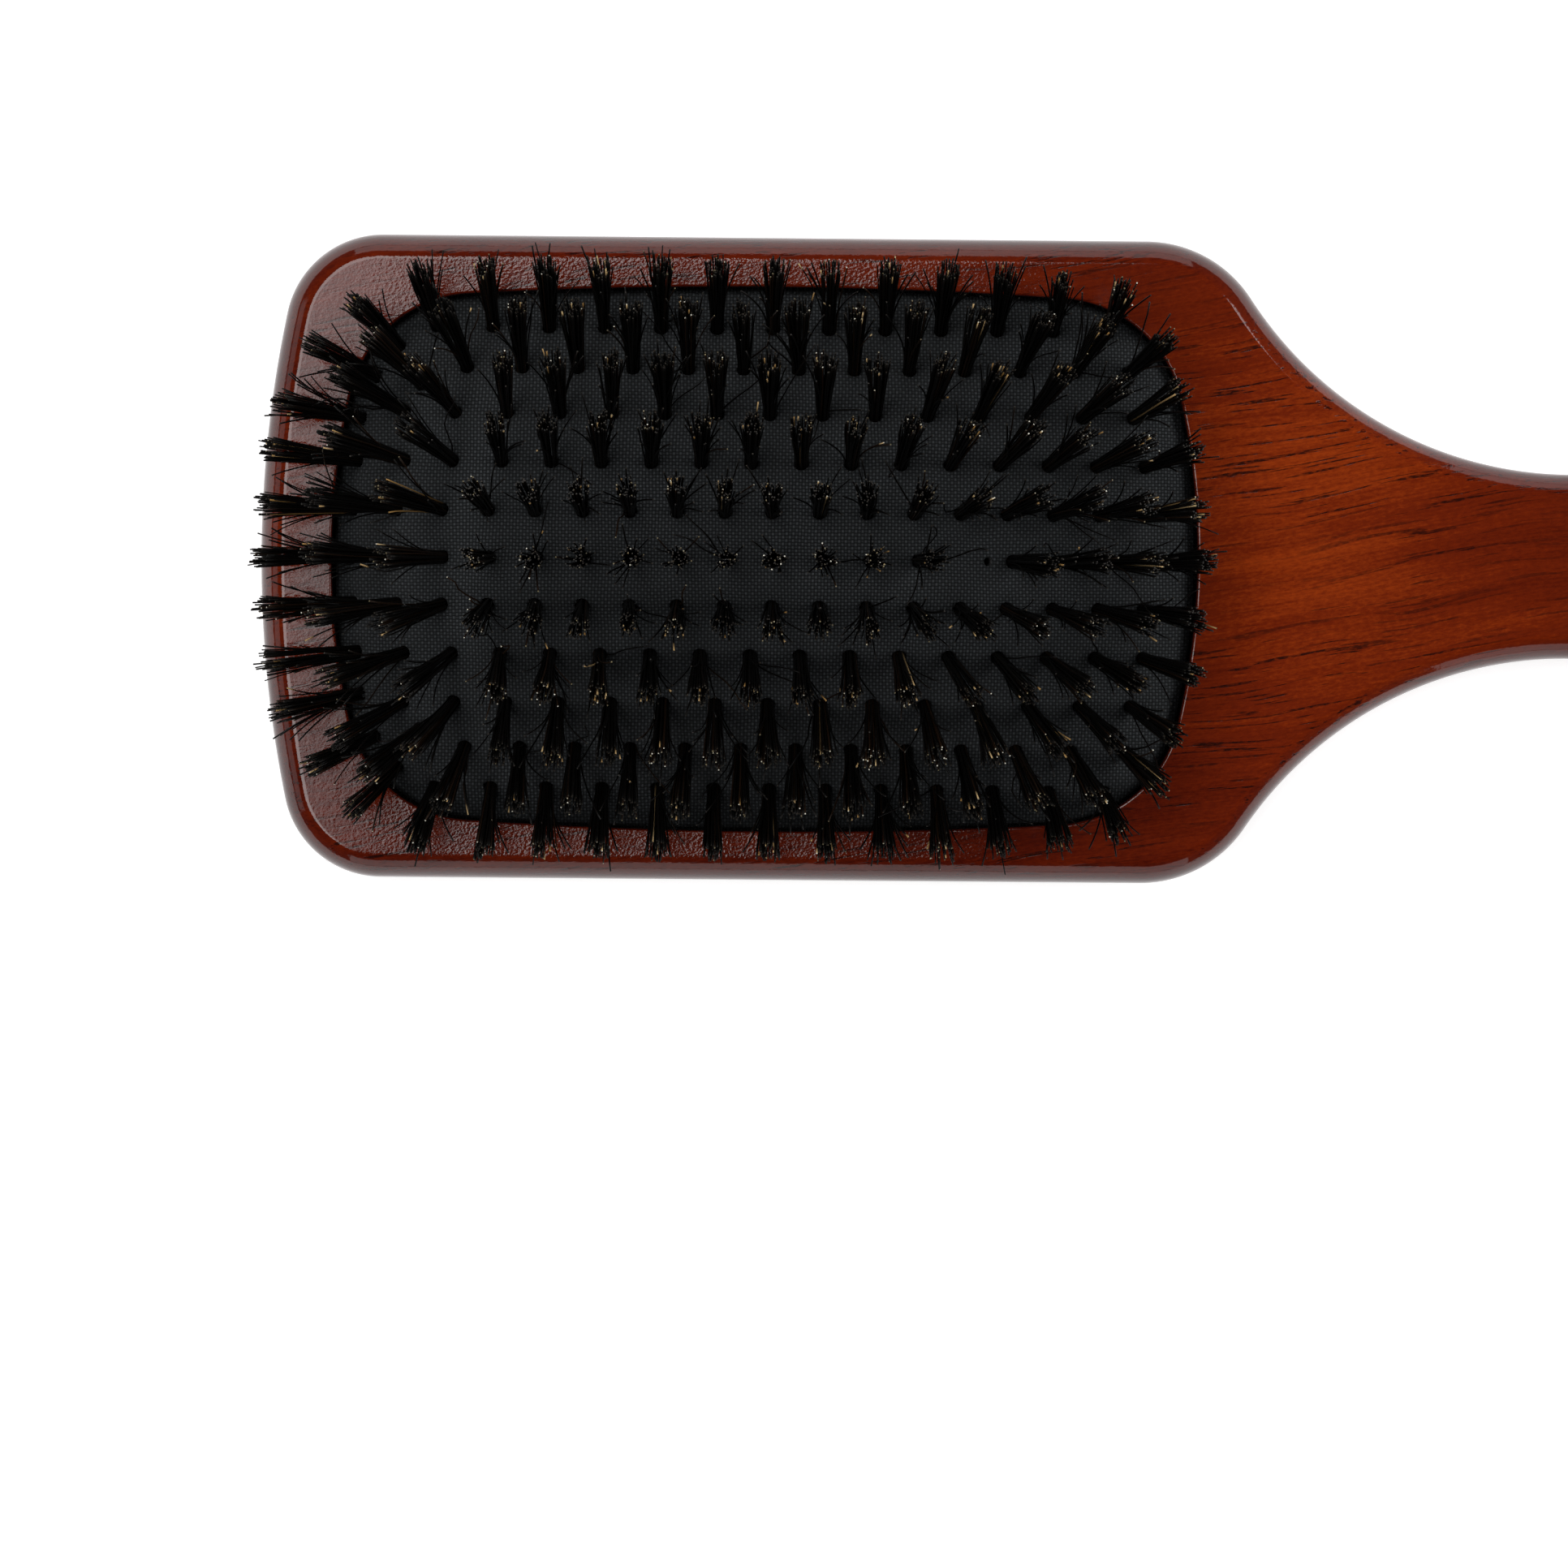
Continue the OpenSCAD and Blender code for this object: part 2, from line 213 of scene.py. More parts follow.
# ================================================================ wood body
def half_outline(inset):
    """One side of the wood, from the toe round to the end of the handle."""
    toe_centre = TOE_X + TOE_RADIUS
    corner_y = HALF_WIDTH - CORNER_RADIUS
    corner_x = toe_centre - math.sqrt((TOE_RADIUS - CORNER_RADIUS) ** 2 - corner_y**2)
    toe_end = math.degrees(math.atan2(corner_y, corner_x - toe_centre))
    flare_start = math.degrees(math.atan2(FLARE_Y - SHOULDER[1], FLARE_X - SHOULDER[0]))
    end_x = WOOD_HIGH[0] - END_RADIUS
    span = math.hypot(end_x - FLARE_X, FLARE_Y)
    tilt = math.atan2(end_x - FLARE_X, FLARE_Y) - math.acos((FLARE_RADIUS + END_RADIUS) / span)
    tilt = math.degrees(tilt)
    toe = arc([toe_centre, 0], TOE_RADIUS, -1, 180, toe_end, 40, inset)
    corner = arc([corner_x, corner_y], CORNER_RADIUS, -1, toe_end, 90, 32, inset)
    shoulder = arc(SHOULDER, SHOULDER_RADIUS, -1, 90, flare_start, 28, inset)
    flare = arc([FLARE_X, FLARE_Y], FLARE_RADIUS, 1, 180 + flare_start, 270 + tilt, 70, inset)
    end = arc([end_x, 0], END_RADIUS, -1, 90 + tilt, 0, 44, inset)

    def straight(a, b, steps):
        share = np.linspace(0, 1, steps + 1)[1:-1, None]
        return a + (b - a) * share

    side = straight(corner[-1], shoulder[0], 60)
    handle = straight(flare[-1], end[0], 36)
    return np.vstack([toe, corner[1:], side, shoulder, flare[1:], handle, end])


def mirrored_loop(half):
    return np.vstack([half, (half * [1, -1])[-2:0:-1]])


def smoothstep(low, high, value):
    share = np.clip((value - low) / (high - low), 0, 1)
    return share * share * (3 - 2 * share)


def back_z(x):
    """Height of the back above the table: it rises a little towards the handle."""
    return BACK_RISE * smoothstep(SHOULDER[0], FLARE_X, x)


def edge_profile():
    """Steps of [inset, height as a share of the thickness], from the face round to the back."""
    widest = 1 - WIDEST_DEPTH / FACE_Z
    crease = math.radians(CREASE_ANGLE)
    upper = np.linspace(crease, 0, 15)
    insets = FACE_INSET * (1 - np.cos(upper)) / (1 - math.cos(crease))
    shares = widest + (1 - widest) * np.sin(upper) / math.sin(crease)
    top = np.column_stack([insets, shares])
    # The sharp crease is worn round over about a third of a millimetre.
    ends = np.array([[FACE_INSET + CREASE_WEAR, 1.0], [FACE_INSET, 1.0], top[1]])
    t = np.linspace(0, 1, 6)[:, None]
    fillet = (1 - t) ** 2 * ends[0] + 2 * t * (1 - t) * ends[1] + t**2 * ends[2]
    lower = np.radians(np.linspace(0, 90, 20))[1:]
    bottom = np.column_stack([BACK_INSET * (1 - np.cos(lower)), widest * (1 - np.sin(lower))])
    return np.vstack([fillet, top[2:], bottom])


def pocket_arcs(steps):
    """Pocket outline as rows of [x, y, outward normal x, outward normal y], about POCKET_X."""
    inner = np.array([POCKET_LENGTH / 2 - POCKET_CORNER - END_BULGE,
                      POCKET_WIDTH / 2 - POCKET_CORNER - SIDE_BULGE])

    def bulge_radius(reach, bulge):
        return (reach**2 + 2 * POCKET_CORNER * bulge + bulge**2) / (2 * bulge)

    side_radius = bulge_radius(inner[0], SIDE_BULGE)
    end_radius = bulge_radius(inner[1], END_BULGE)
    side = math.degrees(math.asin(inner[0] / (side_radius - POCKET_CORNER)))
    end = math.degrees(math.asin(inner[1] / (end_radius - POCKET_CORNER)))
    long_steps, corner_steps, end_steps = steps
    rows = []

    def add(centre, radius, start, stop, count):
        angle = np.radians(np.linspace(start, stop, count + 1)[:-1])
        normal = np.column_stack([np.cos(angle), np.sin(angle)])
        rows.append(np.hstack([np.array([POCKET_X, 0]) + centre + radius * normal, normal]))

    add([POCKET_LENGTH / 2 - end_radius, 0], end_radius, -end, end, end_steps)
    add(inner, POCKET_CORNER, end, 90 - side, corner_steps)
    add([0, POCKET_WIDTH / 2 - side_radius], side_radius, 90 - side, 90 + side, long_steps)
    add(inner * [-1, 1], POCKET_CORNER, 90 + side, 180 - end, corner_steps)
    add([end_radius - POCKET_LENGTH / 2, 0], end_radius, 180 - end, 180 + end, end_steps)
    add(-inner, POCKET_CORNER, 180 + end, 270 - side, corner_steps)
    add([0, side_radius - POCKET_WIDTH / 2], side_radius, 270 - side, 270 + side, long_steps)
    add(inner * [1, -1], POCKET_CORNER, 270 + side, 360 - end, corner_steps)
    return np.vstack(rows)


POCKET = pocket_arcs((110, 36, 56))


def pocket_loop(grow, z):
    return np.column_stack([POCKET[:, :2] + grow * POCKET[:, 2:], np.full(len(POCKET), z)])


def wood_body(materials):
    rings = []
    for inset, share in edge_profile():
        flat = mirrored_loop(half_outline(inset))
        low = back_z(flat[:, 0])
        rings.append(np.column_stack([flat, low + (FACE_Z - low) * share]))
    floor = FACE_Z - POCKET_DEPTH
    groove_top = floor + GROOVE_HEIGHT
    walls = [pocket_loop(POCKET_ROUNDING * (1 - math.sin(a)), FACE_Z - POCKET_ROUNDING * (1 - math.cos(a)))
             for a in np.radians([0, 22, 45, 68, 90])]
    walls += [pocket_loop(0, groove_top), pocket_loop(GROOVE_DEPTH, groove_top),
              pocket_loop(GROOVE_DEPTH, floor)]
    points = np.vstack(rings + walls)
    n, m = len(rings[0]), len(walls[0])
    loops = [list(range(i * n, i * n + n)) for i in range(len(rings))]
    first = len(rings) * n
    wall_loops = [list(range(first + i * m, first + i * m + m)) for i in range(len(walls))]
    faces = []
    for a, b in zip(loops, loops[1:]):
        faces += bridge(a, b)
    for a, b in zip(wall_loops, wall_loops[1:]):
        faces += bridge(b, a)
    # The face between the outer edge and the pocket.
    rim = loops[0] + wall_loops[0]
    flat = [Vector(points[i][:2]) for i in rim]
    edges = [(i, (i + 1) % n) for i in range(n)] + [(n + i, n + (i + 1) % m) for i in range(m)]
    cut = geometry.delaunay_2d_cdt(flat, edges, [], 1, 1e-6)
    number = [source[0] for source in cut[3]]
    caps = [tuple(rim[number[v]] for v in face) for face in cut[2] if min(number[v] for v in face) < n]
    first_flat = len(faces)
    faces += caps
    faces.append(tuple(wall_loops[-1]))
    first_back = len(faces)
    last = loops[-1]
    half = n // 2
    for i in range(half):
        quad = [last[i], last[i + 1], last[(n - i - 1) % n], last[(n - i) % n]]
        faces.append(tuple(dict.fromkeys(quad)))
    smooth = [not first_flat <= i < first_back for i in range(len(faces))]
    body = make_mesh("wood_body_lacquered", points, faces, materials, smooth)
    fix_normals(body)
    return body


def fix_normals(thing):
    grid = bmesh.new()
    grid.from_mesh(thing.data)
    bmesh.ops.recalc_face_normals(grid, faces=grid.faces)
    grid.to_mesh(thing.data)
    grid.free()


# ================================================================ tufts and anchors of the frame
def solids(node):
    """The separate solids of a CAD node, each as an array of its points."""
    mesh = frame["nodes"][node].data
    points = np.array([v.co for v in mesh.vertices]) / MM
    _, same = np.unique(np.round(points, 4), axis=0, return_inverse=True)
    same = same.ravel()
    parent = list(range(same.max() + 1))

    def root(i):
        while parent[i] != i:
            parent[i] = parent[parent[i]]
            i = parent[i]
        return i

    for polygon in mesh.polygons:
        first = root(same[polygon.vertices[0]])
        for v in polygon.vertices[1:]:
            other = root(same[v])
            if other != first:
                parent[other] = first
    groups = {}
    for i in range(len(points)):
        groups.setdefault(root(same[i]), []).append(i)
    return [np.unique(np.round(points[g], 4), axis=0) for g in groups.values()]


def main_axis(points):
    axis = np.linalg.svd(points - points.mean(0), full_matrices=False)[2][0]
    return axis if axis[np.argmax(np.abs(axis))] > 0 else -axis


def read_tufts():
    """Each tuft of the frame: its node, axis, point on the cover, anchor centre and anchor axis."""
    near_end = 0.3
    anchor_nodes = [n for n in frame["nodes"] if n.endswith("_anchors")]
    anchors = [(p.mean(0), main_axis(p)) for n in anchor_nodes for p in solids(n)]
    centres = np.array([a[0] for a in anchors])
    tufts = []
    for node in sorted(n for n in frame["nodes"] if "_tufts_" in n):
        for points in solids(node):
            axis = main_axis(points)
            axis = axis if axis[2] > 0 else -axis
            along = points @ axis
            tip = points[along > along.max() - near_end].mean(0)
            root = points[along < along.min() + near_end].mean(0)
            axis = (tip - root) / np.linalg.norm(tip - root)
            # The tuft's own anchor is the one on its axis, about 1 mm above its root.
            offset = centres - root
            off_axis = np.linalg.norm(offset - np.outer(offset @ axis, axis), axis=1)
            misfit = off_axis + np.abs(offset @ axis - 1) * 0.1
            anchor = anchors[int(np.argmin(misfit))]
            tufts.append({"node": node, "axis": axis, "base": tip - TUFT_LENGTH * axis,
                          "anchor": anchor[0], "wire": anchor[1]})
    return tufts


TUFTS = read_tufts()


# ================================================================ cushion surface
def wall_distance(xy):
    """Distance inside the pocket's wall, from the tangents of its outline."""
    out = np.full(len(xy), np.inf)
    for row in POCKET[::2]:
        out = np.minimum(out, (row[:2] - xy) @ row[2:])
    return out - WALL_GAP


def dome(xy):
    def ramp(t):
        return np.sin(np.pi / 2 * np.clip(t, 0, 1))

    across = np.cos(np.pi / 2 * np.minimum(1, np.abs(xy[:, 1]) / DOME_HALF_WIDTH))
    return (DOME_RISE * ramp((xy[:, 0] - DOME_TOE_X) / TOE_RAMP)
            * ramp((DOME_HEEL_X - xy[:, 0]) / HEEL_RAMP) * across)


def cover_height(xy):
    return FACE_Z + dome(xy) - RIM_DIP * np.maximum(0, 1 - wall_distance(xy) / RIM_BAND) ** 2


def cover_normal(xy, step=0.35):
    dx, dy = np.array([step, 0]), np.array([0, step])
    slope_x = (cover_height(xy + dx) - cover_height(xy - dx)) / (2 * step)
    slope_y = (cover_height(xy + dy) - cover_height(xy - dy)) / (2 * step)
    normal = np.column_stack([-slope_x, -slope_y, np.ones(len(xy))])
    return normal / np.linalg.norm(normal, axis=1)[:, None]


def hole_rings():
    """Rings of points round each tuft and the air hole, with the hole and the scale of each point."""
    angle = np.arange(RING_POINTS) / RING_POINTS * 2 * np.pi
    circle = np.column_stack([np.cos(angle), np.sin(angle)])
    places = [(t["base"][:2], HOLE_RADIUS) for t in TUFTS] + [(VENT, VENT_RADIUS)]
    points, owner, scale = [], [], []
    for number, (place, radius) in enumerate(places):
        normal = cover_normal(place[None])[0]
        slope = np.hypot(*normal[:2])
        downhill = normal[:2] / slope if slope > 1e-6 else np.array([1.0, 0.0])
        for factor in RING_SCALES:
            ring = circle * radius * factor
            along = ring @ downhill
            ring = ring - np.outer(along * (1 - normal[2]), downhill)
            points.append(place + ring)
            owner += [number] * RING_POINTS
            scale += [factor] * RING_POINTS
    return np.vstack(points), np.array(owner), np.array(scale)


def cushion_grid():
    """A flat triangulation of the cushion with a hole at each tuft."""
    rings, owner, scale = hole_rings()
    wall = POCKET[::2, :2] - WALL_GAP * POCKET[::2, 2:]
    inner_walls = [POCKET[::2, :2] - (WALL_GAP + gap) * POCKET[::2, 2:] for gap in WALL_RINGS]
    xs = np.arange(POCKET_X - POCKET_LENGTH / 2, POCKET_X + POCKET_LENGTH / 2, GRID_PITCH)
    ys = np.arange(-POCKET_WIDTH / 2, POCKET_WIDTH / 2, GRID_PITCH * GRID_ROW_SHARE)
    grid = np.array([[x + (GRID_PITCH / 2 if j % 2 else 0), y] for j, y in enumerate(ys) for x in xs])
    grid = grid[wall_distance(grid) > GRID_WALL_CLEAR]
    centres = np.array([t["base"][:2] for t in TUFTS] + [VENT])
    clear = np.ones(len(grid), bool)
    for centre in centres:
        clear &= np.hypot(*(grid - centre).T) > HOLE_RADIUS * RING_SCALES[-1] + GRID_HOLE_CLEAR
    # Ring points near or over the wall are left out, apart from those of the hole itself.
    keep = (scale == 1) | (wall_distance(rings) > RING_WALL_CLEAR)
    rings, owner, scale = rings[keep], owner[keep], scale[keep]
    points = np.vstack([wall, *inner_walls, rings, grid[clear]])
    first_ring = len(wall) * (1 + len(inner_walls))
    edges = [(i, (i + 1) % len(wall)) for i in range(len(wall))]
    holes = []
    for number in range(len(centres)):
        loop = first_ring + np.flatnonzero((owner == number) & (scale == 1))
        holes.append([int(i) for i in loop])
        edges += [(int(loop[i]), int(loop[(i + 1) % len(loop)])) for i in range(len(loop))]
    cut = geometry.delaunay_2d_cdt([Vector(p) for p in points], edges, [], 1, 1e-7)
    kept = np.array([source[0] for source in cut[3]])
    place_of = {old: new for new, old in enumerate(kept)}
    hole_of = np.full(len(points), -1)
    for number, loop in enumerate(holes):
        hole_of[loop] = number
    hole_of = hole_of[kept]

    def covers_hole(face):
        a, b, c = hole_of[list(face)]
        return a >= 0 and a == b == c

    faces = [tuple(face) for face in cut[2] if not covers_hole(face)]
    wall_loop = [place_of[i] for i in range(len(wall))]
    hole_loops = [[place_of[i] for i in loop] for loop in holes]
    return points[kept], faces, wall_loop, hole_loops


GRID_XY, GRID_FACES, GRID_WALL, GRID_HOLES = cushion_grid()


def cushion_layers():
    """Outer surface of the cover and the direction in which each point is set back below it."""
    xy = GRID_XY
    normal = cover_normal(xy)
    surface = np.column_stack([xy, cover_height(xy)])
    inward = -normal
    # Each tuft draws the cover down a little, and its hole runs along the tuft.
    for tuft, loop in zip(TUFTS, GRID_HOLES):
        away = surface - tuft["base"]
        away -= np.outer(away @ tuft["axis"], tuft["axis"])
        distance = np.linalg.norm(away, axis=1)
        near = distance < DIMPLE_REACH
        dip = DIMPLE_DEPTH * np.exp(-((np.maximum(distance[near] - HOLE_RADIUS, 0) / DIMPLE_WIDTH) ** 1.4))
        surface[near] -= dip[:, None] * normal[near]
        inward[loop] = -tuft["axis"]
    return surface, inward


def layered_piece(name, surface, inward, top, bottom, rim, materials):
    """A closed sheet between two depths below the surface, with holes and a rim in the groove."""
    outer = surface + top * inward
    inner = surface + bottom * inward
    n = len(surface)
    loops = [np.column_stack([POCKET[::2, :2] - inset * POCKET[::2, 2:], np.full(len(POCKET[::2]), z)])
             for inset, z in rim]
    m = len(GRID_WALL)
    points = np.vstack([outer, inner, *loops])
    faces = list(GRID_FACES) + [tuple(v + n for v in reversed(f)) for f in GRID_FACES]
    for loop in GRID_HOLES:
        faces += [(a + n, b + n, b, a) for a, b in zip(loop, loop[1:] + loop[:1])]
    chain = [GRID_WALL]
    chain += [list(range(2 * n + i * m, 2 * n + i * m + m)) for i in range(len(loops))]
    chain.append([v + n for v in GRID_WALL])
    for a, b in zip(chain, chain[1:]):
        faces += bridge(b, a)
    piece = make_mesh(name, points, faces, materials)
    fix_normals(piece)
    return piece


# ================================================================ bristles
def tubes(paths, radii, side_direction, sides):
    """Points and quads of many hairs: paths is hairs x rings x 3, radii is hairs x rings."""
    hairs, rings, _ = paths.shape
    tangent = np.gradient(paths, axis=1)
    tangent /= np.linalg.norm(tangent, axis=2)[..., None]
    side = side_direction[:, None, :]
    side = side - tangent * np.sum(tangent * side, axis=2)[..., None]
    side /= np.linalg.norm(side, axis=2)[..., None]
    other = np.cross(tangent, side)
    angle = np.arange(sides) / sides * 2 * np.pi
    around = (side[:, :, None, :] * np.cos(angle)[None, None, :, None]
              + other[:, :, None, :] * np.sin(angle)[None, None, :, None])
    points = paths[:, :, None, :] + radii[:, :, None, None] * around
    start = (np.arange(hairs)[:, None] * rings + np.arange(rings - 1)[None, :]).ravel() * sides
    i = np.arange(sides)
    j = (i + 1) % sides
    quads = np.stack([start[:, None] + i, start[:, None] + j, start[:, None] + sides + j,
                      start[:, None] + sides + i], axis=2).reshape(-1, 4)
    caps = []
    for h in range(hairs):
        first = h * rings * sides
        last = first + (rings - 1) * sides
        caps.append(tuple(first + k for k in reversed(range(sides))))
        caps.append(tuple(last + k for k in range(sides)))
    return points.reshape(-1, 3), quads, caps


def tuft_hairs(tuft, random):
    """Paths of a tuft's folded hairs, tip to tip, with their radii and tones."""
    axis, base = tuft["axis"], tuft["base"]
    along = tuft["wire"] - axis * (tuft["wire"] @ axis)
    along /= np.linalg.norm(along)
    across = np.cross(axis, along)
    wire_depth = (base - tuft["anchor"]) @ axis
    n = PAIRS_PER_TUFT
    clump = random.normal(0, 0.16, 2)
    length = TUFT_LENGTH * random.uniform(0.975, 1.0)

    def leg(sign):
        turn = random.uniform(0, np.pi, n)
        reach = TUFT_RADIUS * np.sqrt(random.uniform(0.02, 1, n))
        root = np.column_stack([reach * np.cos(turn), sign * (0.05 + reach * np.sin(turn)) * 0.95])
        spread = TIP_SPREAD / TUFT_RADIUS * random.uniform(0.82, 1.12, n)
        tip = root * spread[:, None] + random.normal(0, 0.17, (n, 2)) + clump
        stray = random.uniform(0, 1, n) < STRAY_SHARE
        away = np.arctan2(root[:, 1], root[:, 0]) + random.normal(0, 0.7, n)
        push = np.where(stray, random.uniform(0.7, 3.4, n), 0)
        curl = random.uniform(0, 1, n) < CURL_SHARE
        push = np.where(curl, random.uniform(4.0, 7.0, n), push)
        tip += push[:, None] * np.column_stack([np.cos(away), np.sin(away)])
        reach_up = length * np.clip(random.normal(0.985, 0.022, n), 0.9, 1.0)
        reach_up *= np.where(stray, random.uniform(0.8, 1.0, n), 1)
        reach_up *= np.where(curl, random.uniform(0.55, 0.8, n), 1)
        bend = np.where(stray, 1.9, random.uniform(1.05, 1.45, n))
        wave = random.normal(0, 0.06, (n, 2))
        wave += np.where(curl, 0.5, 0)[:, None] * random.normal(0, 1, (n, 2))
        phase = random.uniform(0, 2 * np.pi, n)
        share = LEG_STEPS[None, :]
        flat = (root[:, None, :] + (tip - root)[:, None, :] * (share ** bend[:, None])[..., None]
                + wave[:, None, :] * (np.sin(share * 7 + phase[:, None]) * share)[..., None])
        tilt = np.linalg.norm(tip - root, axis=1) / reach_up
        rise = reach_up[:, None] * share * np.cos(np.arctan(tilt))[:, None]
        return flat, rise

    flat_a, rise_a = leg(1)
    flat_b, rise_b = leg(-1)
    middle_u = (flat_a[:, -1, 0] + flat_b[:, -1, 0]) / 2
    gap_a = FOLD_GAP + FOLD_GAP_GROWTH * np.abs(flat_a[:, -1, 1])
    gap_b = FOLD_GAP + FOLD_GAP_GROWTH * np.abs(flat_b[:, -1, 1])
    low = np.minimum(gap_a, gap_b)
    turn_flat = np.stack([np.column_stack([flat_a[:, -1, 0] * 0.8, gap_a]),
                          np.column_stack([middle_u, 0.7 * low]),
                          np.column_stack([middle_u, 0 * low]),
                          np.column_stack([middle_u, -0.7 * low]),
                          np.column_stack([flat_b[:, -1, 0] * 0.8, -gap_b])], axis=1)
    turn_rise = np.column_stack([-wire_depth + 0 * low, -wire_depth - 0.75 * low, -wire_depth - low,
                                 -wire_depth - 0.75 * low, -wire_depth + 0 * low])
    flat = np.concatenate([flat_a, turn_flat, flat_b[:, ::-1]], axis=1)
    rise = np.concatenate([rise_a, turn_rise, rise_b[:, ::-1]], axis=1)
    paths = (base + flat[..., :1] * along + flat[..., 1:] * across + rise[..., None] * axis)
    bend = np.array([min(axis[0], 0) * TOE_BEND, 0, 0])
    paths += (np.clip(rise / length, 0, 1) ** 1.6)[..., None] * bend
    thick = HAIR_RADIUS * random.uniform(0.82, 1.15, n)
    leg_taper = 1 - TIP_TAPER * LEG_STEPS
    taper = np.concatenate([leg_taper, np.full(FOLD_STEPS, 0.9), leg_taper[::-1]])
    radii = thick[:, None] * taper[None, :]
    from_tip = np.concatenate([1 - LEG_STEPS, np.full(FOLD_STEPS, 1.2), (1 - LEG_STEPS)[::-1]])

    def pale_length():
        """How much of each hair is pale from its tip, as a share of its free length."""
        return np.where(random.uniform(0, 1, n) < PALE_TIP_SHARE, random.uniform(0.04, 0.15, n), 0.0)

    pale_a = pale_length()
    pale_b = pale_length()
    whole = random.uniform(0, 1, n) < PALE_HAIR_SHARE
    pale_a[whole] = pale_b[whole] = 1.0
    rings = len(taper)
    half = rings // 2
    pale = np.hstack([np.repeat(pale_a[:, None], half, 1), np.repeat(pale_b[:, None], rings - half, 1)])
    shade = np.repeat(random.uniform(0, 1, n)[:, None], rings, 1)
    tone = np.stack([np.repeat(from_tip[None], n, 0), shade, pale], 2)
    return paths, radii, np.repeat(along[None], n, 0), tone


def bristle_piece(node, tufts, materials):
    """All the hairs of one tuft node, as one piece."""
    random = np.random.default_rng(sum(map(ord, node)))
    parts = [tuft_hairs(t, random) for t in tufts]
    paths = np.concatenate([p[0] for p in parts])
    radii = np.concatenate([p[1] for p in parts])
    side = np.concatenate([p[2] for p in parts])
    tone = np.concatenate([p[3] for p in parts])
    points, quads, caps = tubes(paths, radii, side, HAIR_SIDES)
    faces = quads.tolist() + caps
    ends = np.zeros(len(faces), np.int32)
    ends[len(quads):] = 1
    smooth = ends == 0
    piece = make_mesh("bristles_" + node.replace("_tufts", ""), points, faces, materials, smooth, ends)
    colours = np.ones((len(points), 4), np.float32)
    colours[:, :3] = np.repeat(tone.reshape(-1, 3), HAIR_SIDES, axis=0)
    layer = piece.data.attributes.new("tone", "FLOAT_COLOR", "POINT")
    layer.data.foreach_set("color", colours.ravel())
    return piece


# ================================================================ cloth
def puffed(surface):
    """The cover's surface after a short cloth simulation, held at the wall and round each tuft."""
    mesh = bpy.data.meshes.new("cover_cloth")
    mesh.from_pydata((surface * MM * CLOTH_SCALE).tolist(), [], GRID_FACES)
    thing = bpy.data.objects.new("cover_cloth", mesh)
    bpy.context.scene.collection.objects.link(thing)
    held = thing.vertex_groups.new(name="held")
    held.add(GRID_WALL + [v for loop in GRID_HOLES for v in loop], 1.0, "REPLACE")
    cloth = thing.modifiers.new("cloth", "CLOTH")
    cloth.settings.quality = 5
    cloth.settings.mass = 0.3
    cloth.settings.tension_stiffness = 25
    cloth.settings.compression_stiffness = 25
    cloth.settings.shear_stiffness = 8
    cloth.settings.bending_stiffness = 0.4
    cloth.settings.vertex_group_mass = "held"
    cloth.settings.shrink_min = -0.012
    cloth.settings.use_pressure = True
    cloth.settings.uniform_pressure_force = 3.0
    cloth.settings.effector_weights.gravity = 0
    cloth.collision_settings.use_collision = False
    for frame_number in range(1, CLOTH_FRAMES + 1):
        bpy.context.scene.frame_set(frame_number)
    result = thing.evaluated_get(bpy.context.evaluated_depsgraph_get()).data
    moved = np.array([v.co for v in result.vertices]) / (MM * CLOTH_SCALE) - surface
    bpy.context.scene.frame_set(1)
    bpy.data.objects.remove(thing)
    bpy.data.meshes.remove(mesh)
    reach = np.linalg.norm(moved, axis=1)
    print("cloth moved by", float(np.median(reach)), float(reach.max()))
    return surface + moved * np.minimum(1, PUFF_LIMIT / np.maximum(reach, 1e-9))[:, None]


